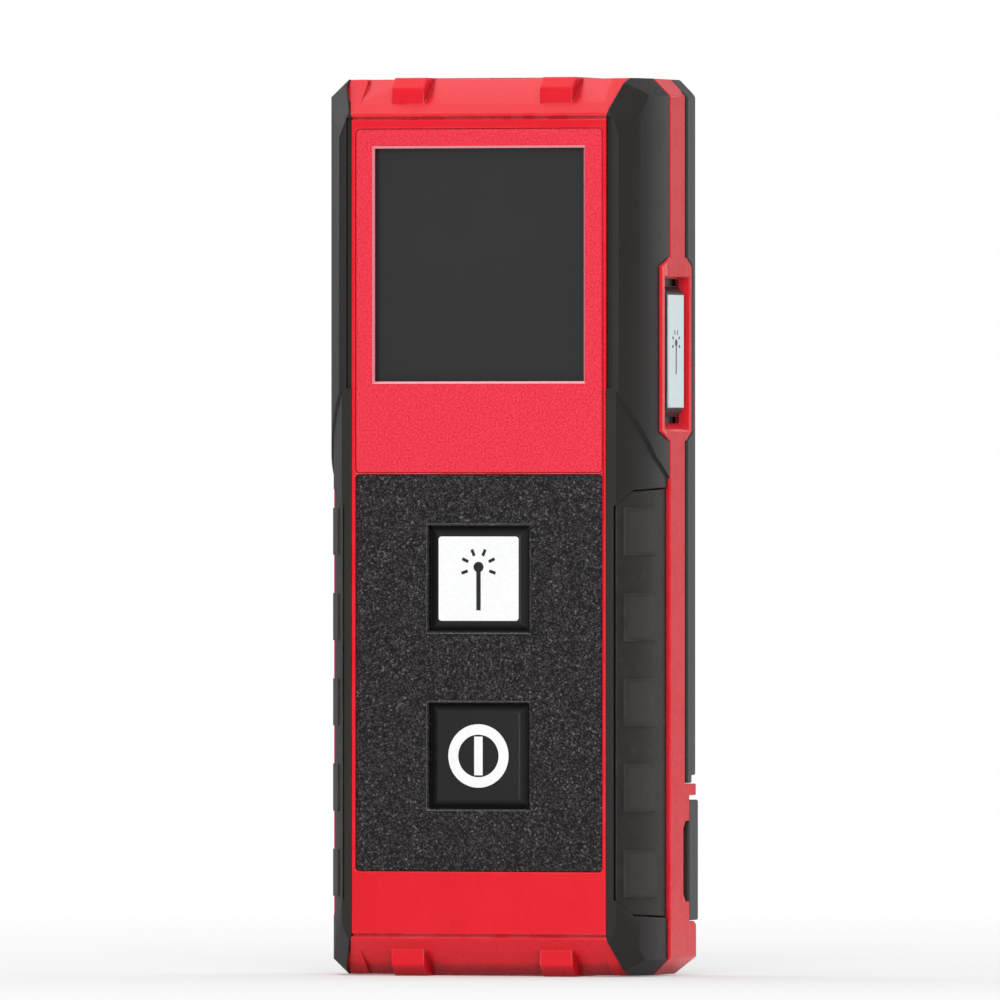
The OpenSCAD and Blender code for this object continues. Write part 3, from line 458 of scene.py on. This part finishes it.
def circuit_board():
    """Green solder mask over copper tracks that shine through."""
    s = Shader("circuit_board", Coat_Weight=0.35, Coat_Roughness=0.2)
    upright = s.add("ShaderNodeMapping", Vector=s.place, Rotation=(math.pi / 2, 0, 0))
    tracks = s.add("ShaderNodeTexBrick", Vector=upright.outputs[0], Scale=1 / (2.4 * MM),
                   Mortar_Size=0.035).outputs["Fac"]
    s.colour(s.mix(tracks, (0.010, 0.105, 0.045), (0.035, 0.20, 0.085)))
    weave = s.noise(0.35 * MM, 3.0)
    s.roughness(s.span(weave, 0.3, 0.7, 0.28, 0.42))
    s.bump(tracks, 0.02 * MM)
    s.bump(weave, 0.004 * MM)
    return s


def chip_epoxy():
    return moulded("chip_epoxy", (0.018, 0.018, 0.019), 0.5, 0.12 * MM, 0.006 * MM, 0.12, 0.4)


def flex_film():
    s = moulded("flex_film", (0.48, 0.22, 0.04), 0.28, 0.4 * MM, 0.002 * MM, 0.05)
    lines = s.add("ShaderNodeTexWave", {"bands_direction": "Z"}, Vector=s.place,
                  Scale=1 / (1.6 * MM)).outputs["Fac"]
    s.colour(s.mix(s.span(lines, 0.55, 0.65), (0.48, 0.22, 0.04), (0.62, 0.34, 0.10)))
    return s


def metal(name, colour, rough, grain, stretch=None, depth=0.001 * MM):
    s = Shader(name, Metallic=1.0)
    fine = s.noise(grain, 4.0, 0.6, stretch)
    s.colour(s.mix(s.span(fine, 0.3, 0.7), shade(colour, 0.88), shade(colour, 1.08)))
    s.roughness(s.span(fine, 0.3, 0.7, rough - 0.06, rough + 0.08))
    s.bump(fine, depth)
    return s


def chassis_alloy():
    return metal("chassis_alloy", (0.06, 0.06, 0.065), 0.42, 0.12 * MM, None, 0.008 * MM)


def laser_brass():
    return metal("laser_brass", (0.72, 0.52, 0.20), 0.26, 0.10 * MM, (1, 1, 6))


def spring_steel():
    return metal("spring_steel", (0.72, 0.71, 0.67), 0.20, 0.15 * MM)


def screw_steel():
    return metal("screw_steel", (0.50, 0.50, 0.52), 0.30, 0.10 * MM)


def cell_wrap():
    """A battery: printed sleeve with a plain band, and bare metal at both ends."""
    s = Shader("cell_wrap", Coat_Weight=0.6, Coat_Roughness=0.12)
    parts = s.add("ShaderNodeSeparateXYZ", Vector=s.place)
    across = s.maths("SUBTRACT", s.maths("ABSOLUTE", parts.outputs["X"]), CELL_X)
    back = s.maths("SUBTRACT", parts.outputs["Y"], CELL_Y)
    off_axis = s.maths("SQRT", s.maths("ADD", s.multiply(across, across), s.multiply(back, back)))
    # the two cells point opposite ways: the band marks the contact's end
    along = s.multiply(s.maths("SUBTRACT", parts.outputs["Z"], CELL_MID_Z),
                       s.maths("SIGN", s.multiply(parts.outputs["X"], -1.0)))
    band = s.span(along, CELL_BAND, CELL_BAND + 2 * PRINT_SOFT)
    ring = s.multiply(s.span(along, CELL_RING_LOW, CELL_RING_LOW + PRINT_SOFT),
                      s.span(along, CELL_RING_HIGH, CELL_RING_HIGH - PRINT_SOFT))
    body = s.mix(s.noise(6 * MM), (0.018, 0.045, 0.10), (0.024, 0.058, 0.125))
    sleeve = s.mix(ring, s.mix(band, body, (0.62, 0.42, 0.16)), (0.75, 0.76, 0.78))
    bare = s.span(off_axis, CELL_BARE_R, CELL_BARE_R - PRINT_SOFT)
    brushed = s.noise(0.25 * MM, 3.0)
    s.colour(s.mix(bare, sleeve, (0.68, 0.68, 0.70)))
    s.set(s.bsdf.inputs["Metallic"], bare)
    s.roughness(s.span(brushed, 0.3, 0.7, 0.22, 0.36))
    s.bump(s.noise(4 * MM, 2.0), 0.010 * MM)
    return s


def label_film():
    """Rating plate without any print but its ruled border and lines."""
    s = moulded("label_film", (0.42, 0.43, 0.45), 0.38, 0.12 * MM, 0.002 * MM, 0.03)
    low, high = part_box("rating_label")
    parts = s.add("ShaderNodeSeparateXYZ", Vector=s.place)
    level = s.maths("SUBTRACT", parts.outputs["Z"], (low.z + high.z) / 2)
    x = s.maths("ABSOLUTE", parts.outputs["X"])
    z = s.maths("ABSOLUTE", level)
    half_w = (high.x - low.x) / 2 - LABEL_MARGIN
    half_h = (high.z - low.z) / 2 - LABEL_MARGIN
    reach = s.maths("MAXIMUM", s.maths("SUBTRACT", x, half_w), s.maths("SUBTRACT", z, half_h))
    border = s.near(reach, 0.0, LABEL_LINE)
    inside = s.span(reach, 0.0, -LABEL_LINE / 2)
    rules = s.maths("MAXIMUM", s.near(level, LABEL_RULE, LABEL_LINE),
                    s.near(level, -LABEL_RULE, LABEL_LINE))
    print_mask = s.maths("MAXIMUM", border, s.multiply(rules, inside))
    s.colour(s.mix(print_mask, s.base(), (0.03, 0.03, 0.032)))
    s.set(s.bsdf.inputs["Metallic"], 0.35)
    return s


SLOT_MAKERS = [
    red_plastic, red_textured_plastic, grip_rubber, pad_rubber, keypad_plastic,
    cover_plastic, key_plastic, white_print, dark_print, silver_plate, window_acrylic,
    optics_acrylic, lens_glass, lcd_cell, light_guide, silicone, seal_rubber,
    black_plastic, circuit_board, chip_epoxy, flex_film, chassis_alloy, laser_brass,
    cell_wrap, spring_steel, screw_steel, label_film,
]
MATERIALS = {make.__name__: make().material for make in SLOT_MAKERS}

# ---- carried-over CAD shapes, with rounded edges ---------------------------------

WELD = 0.0005 * MM
FLAT_ANGLE = math.radians(0.4)
EDGE_ANGLE = math.radians(24)
ALONG = 0.9        # edges that point apart this clearly run on from each other
ROOM = 0.42        # the share of a neighbouring edge that a rounding may use
DETOUR = 3.0       # an outline that goes this much further round than across is narrow there
EDGE_SEGMENTS = 2
FLAT_SHARE = 80    # how strongly the larger face sets the shading at an edge, from 1 to 100

# How far the edges of each sub-part are rounded, in millimetres; where it is 0 the edges
# stay as they are and the rubber's own shading softens them
EDGE_RADIUS = {
    "main_housing": 0.16, "rear_cover": 0.22, "left_grip": 0, "right_grip": 0,
    "left_grip_pad": 0, "right_grip_pad": 0, "bezel_panel": 0.10,
    "keypad_panel": 0.09, "display_window": 0.05, "measure_button": 0.14,
    "power_button": 0.14, "side_button": 0.10, "side_button_plate": 0.05,
    "measure_plate": 0.04, "battery_door": 0.14, "end_piece": 0.22, "optics_bezel": 0.12,
    "optics_window": 0.08, "battery_tray": 0.10, "optics_chassis": 0.15,
    "main_board": 0.04, "side_board": 0.04, "processor_chips": 0.05, "front_switches": 0.06,
    "side_switch": 0.06, "buzzer": 0.12, "lcd_glass": 0.05, "lcd_backlight": 0.05,
    "lcd_holder": 0.06, "case_screws": 0.08, "board_screws": 0.06, "optics_screws": 0.06,
    "rating_label": 0.03, "end_piece_pin": 0.10, "case_seal": 0.02, "door_seal": 0.04,
    "receiver_sensor": 0.05, "laser_diode": 0.06,
}


def link(name, mesh):
    obj = bpy.data.objects.new(name, mesh)
    bpy.context.scene.collection.objects.link(obj)
    return obj


def narrow_places(shape):
    """How close each edge comes to another stretch of an outline that it belongs to."""
    room = {}
    for face in shape.faces:
        loops = list(face.loops)
        ends = [loop.vert.co for loop in loops]
        along = [0.0]
        for loop in loops:
            along.append(along[-1] + loop.edge.calc_length())
        for i, loop in enumerate(loops):
            following = (i + 1) % len(loops)
            for j, other in enumerate(loops):
                if j in (i, following):
                    continue
                near, share = intersect_point_line(ends[j], ends[i], ends[following])
                if not 0 < share < 1:
                    continue
                gap = (near - ends[j]).length
                way = min((along[j] - along[i + 1]) % along[-1], (along[i] - along[j]) % along[-1])
                if way > DETOUR * gap:
                    for edge in (loop.edge, other.edge, other.link_loop_prev.edge):
                        room[edge] = min(room.get(edge, gap), gap)
    return room


def rounding_weight(edge, radius, room):
    """How much of the radius fits on an edge: none on hollow corners and flat joints."""
    if len(edge.link_faces) != 2 or not edge.is_convex:
        return 0.0
    if edge.calc_face_angle() < EDGE_ANGLE:
        return 0.0
    weight = min(1.0, ROOM * room.get(edge, math.inf) / radius)
    for vert in edge.verts:
        away = (edge.other_vert(vert).co - vert.co).normalized()
        for other in vert.link_edges:
            if other is edge:
                continue
            side = (other.other_vert(vert).co - vert.co).normalized()
            turn = side.dot(away)
            if turn > -ALONG:
                # a rounding slides further along a neighbour at a sharp angle
                reach = other.calc_length() * math.sqrt(max(1 - turn * turn, 0.0))
                weight = min(weight, ROOM * reach / radius)
    return weight


def saved(name, shape):
    """The shape as a mesh of its own; the shape is used up."""
    mesh = bpy.data.meshes.new(name)
    shape.to_mesh(mesh)
    shape.free()
    return mesh


def cleaned(node, radius):
    """A welded copy of a CAD node's mesh, with its flat faces whole and its edges weighted."""
    shape = bmesh.new()
    shape.from_mesh(NODES[node].data)
    bmesh.ops.remove_doubles(shape, verts=shape.verts, dist=WELD)
    bmesh.ops.dissolve_limit(shape, angle_limit=FLAT_ANGLE, verts=shape.verts, edges=shape.edges)
    weights = shape.edges.layers.float.new("bevel_weight_edge")
    room = narrow_places(shape) if radius else {}
    for face in shape.faces:
        face.smooth = True
    for edge in shape.edges:
        edge[weights] = rounding_weight(edge, radius, room) if radius else 0.0
        edge.smooth = len(edge.link_faces) != 2 or edge.calc_face_angle() < EDGE_ANGLE
    return saved(node, shape)


def round_edges(obj, radius):
    """Rounds the weighted edges, and keeps the shading of the large faces flat."""
    if radius:
        bevel = obj.modifiers.new("edges", "BEVEL")
        bevel.width = radius
        bevel.segments = EDGE_SEGMENTS
        bevel.limit_method = "WEIGHT"
        bevel.use_clamp_overlap = False
        bevel.loop_slide = False
        bevel.miter_outer = "MITER_ARC"
    normals = obj.modifiers.new("normals", "WEIGHTED_NORMAL")
    normals.keep_sharp = True
    normals.weight = FLAT_SHARE


def finish_piece(obj, node):
    """Makes an object stand for a CAD node and ride on its body."""
    slot = SLOT_OF[node]
    obj.data.materials.clear()
    obj.data.materials.append(MATERIALS[slot])
    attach(obj, NODES[node]["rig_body"])
    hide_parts(node)


def carry_over(node):
    """The CAD node's own shape, with rounded edges where it is large enough to show them."""
    if node in EDGE_RADIUS:
        radius = EDGE_RADIUS[node] * MM
        obj = link(node + "_finished", cleaned(node, radius))
        round_edges(obj, radius)
        finish_piece(obj, node)
    else:
        NODES[node].data.materials.clear()
        NODES[node].data.materials.append(MATERIALS[SLOT_OF[node]])


# ---- batteries and springs ---------------------------------------------------------

# Outline of a cell from its flat end to its contact: radius and height in millimetres
CELL_OUTLINE = [
    (0.0, 0.15), (3.9, 0.15), (4.1, 0.0), (4.5, 0.0), (4.7, 0.10), (5.05, 0.12), (5.2, 0.2),
    (5.25, 0.4), (5.25, 42.9), (5.2, 43.2), (5.0, 43.45), (4.7, 43.58), (4.45, 43.5),
    (4.3, 43.3), (4.1, 43.2), (2.4, 43.2), (2.1, 43.3), (1.9, 43.5), (1.9, 44.25),
    (1.8, 44.45), (1.6, 44.5), (0.0, 44.5),
]
CELL_SIDES = 96
WIRE_R = 0.26 * MM
SPRING_TURNS = 4.5
SPRING_BASE_R = 2.62 * MM
SPRING_TIP_R = 1.95 * MM
SPRING_STEPS = 40      # points along each turn
SPRING_FLAT = 0.11     # the share of the wire that lies flat at either end
SPRING_SHARP = math.radians(60)
WIRE_SIDES = 12
UP = Vector((0, 0, 1))


def lathe(name, outline, x, z, flip):
    """Turns an outline round a cell's axis at x, from z upwards or downwards."""
    shape = bmesh.new()
    angles = [2 * math.pi * i / CELL_SIDES for i in range(CELL_SIDES)]
    rings = []
    for radius, height in outline:
        level = z + (-height if flip else height) * MM
        if radius == 0.0:
            rings.append([shape.verts.new((x, CELL_Y, level))])
            continue
        rings.append([shape.verts.new((x + radius * MM * math.cos(angle),
                                       CELL_Y + radius * MM * math.sin(angle), level))
                      for angle in angles])
    for lower, upper in zip(rings, rings[1:]):
        join_rings(shape, lower, upper)
    return finished_mesh(name, shape)


def join_rings(shape, lower, upper):
    """Faces between two closed rows of points, either of which may be a single point."""
    count = max(len(lower), len(upper))
    for i in range(count):
        j = (i + 1) % count
        if len(lower) == 1:
            shape.faces.new((lower[0], upper[j], upper[i]))
        elif len(upper) == 1:
            shape.faces.new((lower[i], lower[j], upper[0]))
        else:
            shape.faces.new((lower[i], lower[j], upper[j], upper[i]))


def finished_mesh(name, shape, sharp=EDGE_ANGLE):
    """Smooth faces, outward normals and sharp edges where the shape turns a corner."""
    bmesh.ops.recalc_face_normals(shape, faces=shape.faces)
    for face in shape.faces:
        face.smooth = True
    for edge in shape.edges:
        edge.smooth = len(edge.link_faces) != 2 or edge.calc_face_angle() < sharp
    return saved(name, shape)


def add_coil(shape, x, low_z, high_z, base_at_low):
    """A conical spring of round wire that lies flat for half a turn at both ends."""
    steps = int(SPRING_TURNS * SPRING_STEPS)
    sides = [2 * math.pi * i / WIRE_SIDES for i in range(WIRE_SIDES)]
    rings = []
    for step in range(steps + 1):
        share = step / steps
        angle = 2 * math.pi * SPRING_TURNS * share
        rise = min(max((share - SPRING_FLAT) / (1 - 2 * SPRING_FLAT), 0.0), 1.0)
        level = low_z + WIRE_R + rise * (high_z - low_z - 2 * WIRE_R)
        taper = share if base_at_low else 1 - share
        radius = SPRING_BASE_R + taper * (SPRING_TIP_R - SPRING_BASE_R)
        outward = Vector((math.cos(angle), math.sin(angle), 0))
        centre = Vector((x, CELL_Y, level)) + radius * outward
        rings.append([shape.verts.new(centre + WIRE_R * (math.cos(side) * outward
                                                         + math.sin(side) * UP))
                      for side in sides])
    for lower, upper in zip(rings, rings[1:]):
        join_rings(shape, lower, upper)
    shape.faces.new(rings[0])
    shape.faces.new(list(reversed(rings[-1])))


def make_springs():
    """The two battery springs: below the left cell and above the right one."""
    low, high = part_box("spring_contacts")
    shape = bmesh.new()
    add_coil(shape, -CELL_X, low.z, LEFT_CELL_FOOT, True)
    add_coil(shape, CELL_X, RIGHT_CELL_TOP, high.z, False)
    obj = link("battery_springs", finished_mesh("battery_springs", shape, SPRING_SHARP))
    finish_piece(obj, "spring_contacts")


def make_batteries():
    """The left cell stands on its flat end; the right one lies the other way up."""
    left = link("left_cell", lathe("left_cell", CELL_OUTLINE, -CELL_X, LEFT_CELL_FOOT, False))
    right = link("right_cell", lathe("right_cell", CELL_OUTLINE, CELL_X, RIGHT_CELL_TOP, True))
    finish_piece(left, "left_battery")
    finish_piece(right, "right_battery")


# ---- narrow glossy rims round the openings, painted lighter as highlights ----------

FRONT_Y = cad_low.y
KEY_CLEARANCE = 0.15 * MM     # between a front button and the edge of its opening

# Each frame: how far it reaches outside and inside the edge of its opening, and how far
# its front and back lie behind the object's front face
WINDOW_FRAME = (0.02 * MM, 0.28 * MM, 0.04 * MM, 0.32 * MM)
KEY_FRAME = (0.20 * MM, 0.02 * MM, 0.01 * MM, 0.17 * MM)


def add_edge_frame(shape, low_x, high_x, low_z, high_z, outer, inner, front, back):
    """A frame that slopes from outside an opening's edge to inside it further back."""
    corners = [(low_x, low_z), (high_x, low_z), (high_x, high_z), (low_x, high_z)]
    outward = [(-1, -1), (1, -1), (1, 1), (-1, 1)]
    rows = []
    for push, depth in ((-inner, back), (outer, front), (outer, back)):
        rows.append([shape.verts.new((x + dx * push, FRONT_Y + depth, z + dz * push))
                     for (x, z), (dx, dz) in zip(corners, outward)])
    for first, second in zip(rows, rows[1:] + rows[:1]):
        join_rings(shape, first, second)


def painted_highlight_piece(name, shape, node, gloss):
    """An extra piece of edges, painted lighter as a highlight, that belongs to a CAD node and
    moves with it.
    """
    bmesh.ops.recalc_face_normals(shape, faces=shape.faces)
    obj = link(name, saved(name, shape))
    obj.data.materials.append(gloss.material)
    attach(obj, NODES[node]["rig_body"])


def make_painted_highlights():
    """Painted highlights: the lighter rim of the display's opening, and the lighter rims of the
    two front keys' openings.
    """
    low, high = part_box("display_window")
    window = bmesh.new()
    add_edge_frame(window, low.x, high.x, low.z, high.z, *WINDOW_FRAME)
    # painted highlight: a pink rim round the window and grey rims round the keys, lighter than
    # their surroundings
    painted_highlight_piece("window_painted_highlight", window, "bezel_panel",
               painted_highlight_gloss("window_painted_highlight_gloss", (0.86, 0.22, 0.27), 2.4))
    keys = bmesh.new()
    half = BUTTON_W / 2 + KEY_CLEARANCE
    for node in ("measure_button", "power_button"):
        mid = sum(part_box(node), Vector()) / 2
        add_edge_frame(keys, -half, half, mid.z - half, mid.z + half, *KEY_FRAME)
    painted_highlight_piece("key_painted_highlights", keys, "keypad_panel",
               painted_highlight_gloss("key_painted_highlight_gloss", (0.04, 0.04, 0.042), 2.3))


# ---- floor and lights --------------------------------------------------------------

FLOOR_SOLID = 0.12      # the floor begins to fade this far from the middle, in metres
FLOOR_END = 0.45
FLOOR_SIDES = 96
FLOOR_COVER = 0.75      # how much of the floor shows near the object


def make_floor():
    """A pale disc that fades into the background far from the object."""
    shape = bmesh.new()
    bmesh.ops.create_circle(shape, cap_ends=True, segments=FLOOR_SIDES, radius=FLOOR_END)
    floor = link("floor", saved("floor", shape))
    s = Shader("floor", Roughness=0.95, Specular_IOR_Level=0.0)
    s.colour(s.mix(s.noise(50 * MM, 3.0), (0.84, 0.84, 0.84), (0.86, 0.86, 0.86)))
    far = s.add("ShaderNodeVectorMath", {"operation": "LENGTH"})
    s.set(far.inputs[0], s.place)
    cover = s.span(far.outputs["Value"], FLOOR_SOLID, FLOOR_END, FLOOR_COVER, 0.0)
    s.set(s.bsdf.inputs["Alpha"], cover)
    floor.data.materials.append(s.material)


# Brightness of the room from straight below (0) past the horizon (0.5) to straight above (1)
ROOM_LIGHT = [(0.0, 1.0), (0.45, 0.24), (0.95, 0.80)]


def make_world():
    """White behind the object, and a softer grey room for the light."""
    world = bpy.data.worlds.new("studio")
    world.use_nodes = True
    tree = world.node_tree
    tree.nodes.clear()
    new = tree.nodes.new
    output = new("ShaderNodeOutputWorld")
    blend = new("ShaderNodeMixShader")
    path = new("ShaderNodeLightPath")
    room = new("ShaderNodeBackground")
    backdrop = new("ShaderNodeBackground")
    place = new("ShaderNodeTexCoord")
    parts = new("ShaderNodeSeparateXYZ")
    ramp = new("ShaderNodeValToRGB")
    stops = ramp.color_ramp.elements
    stops[0].position = ROOM_LIGHT[0][0]
    stops[1].position = ROOM_LIGHT[-1][0]
    for position, _ in ROOM_LIGHT[1:-1]:
        stops.new(position)
    for stop, (_, level) in zip(stops, ROOM_LIGHT):
        stop.color = (level, level, level, 1)
    # the view direction's height runs from -1 to 1, and the ramp from 0 to 1
    lift = new("ShaderNodeMath")
    lift.operation = "MULTIPLY_ADD"
    lift.inputs[1].default_value = 0.5
    lift.inputs[2].default_value = 0.5
    backdrop.inputs["Color"].default_value = (1, 1, 1, 1)
    tree.links.new(place.outputs["Generated"], parts.inputs[0])
    tree.links.new(parts.outputs["Z"], lift.inputs[0])
    tree.links.new(lift.outputs[0], ramp.inputs[0])
    tree.links.new(ramp.outputs[0], room.inputs["Color"])
    tree.links.new(path.outputs["Is Camera Ray"], blend.inputs[0])
    tree.links.new(room.outputs[0], blend.inputs[1])
    tree.links.new(backdrop.outputs[0], blend.inputs[2])
    tree.links.new(blend.outputs[0], output.inputs[0])
    bpy.context.scene.world = world


# Each softbox: its name, place and width in metres, and its power in watts
SOFTBOXES = [
    ("overhead", (-0.25, 0.22, 0.80), 0.75, 1.7),
    ("front", (0.28, -0.85, 0.62), 0.5, 3.3),
    ("low", (0.15, -0.80, 0.06), 0.4, 1.8),
    ("right", (0.62, 0.70, 0.20), 0.5, 1.7),
    ("left", (-0.90, 0.25, 0.30), 0.4, 1.4),
]


def softbox(name, place, size, power):
    """A square area light that looks at the middle of the object."""
    data = bpy.data.lights.new(name, "AREA")
    data.shape = "SQUARE"
    data.size = size
    data.energy = power
    light = bpy.data.objects.new(name, data)
    bpy.context.scene.collection.objects.link(light)
    light.location = place
    light.rotation_mode = "QUATERNION"
    aim = Vector((0, 0, cad_high.z / 2)) - Vector(place)
    light.rotation_quaternion = aim.to_track_quat("-Z", "Y")


def make_lights():
    for name, place, size, power in SOFTBOXES:
        softbox(name, place, size, power)
    bpy.context.scene.view_settings.view_transform = "Standard"


# ---- the whole scene ------------------------------------------------------------------

# The nodes that make_springs and make_batteries replace
MODELLED = {"left_battery", "right_battery", "spring_contacts"}

make_camera()
make_world()
make_lights()
make_floor()

for node in sorted(set(NODES) - MODELLED):
    carry_over(node)
make_springs()
make_batteries()
make_painted_highlights()
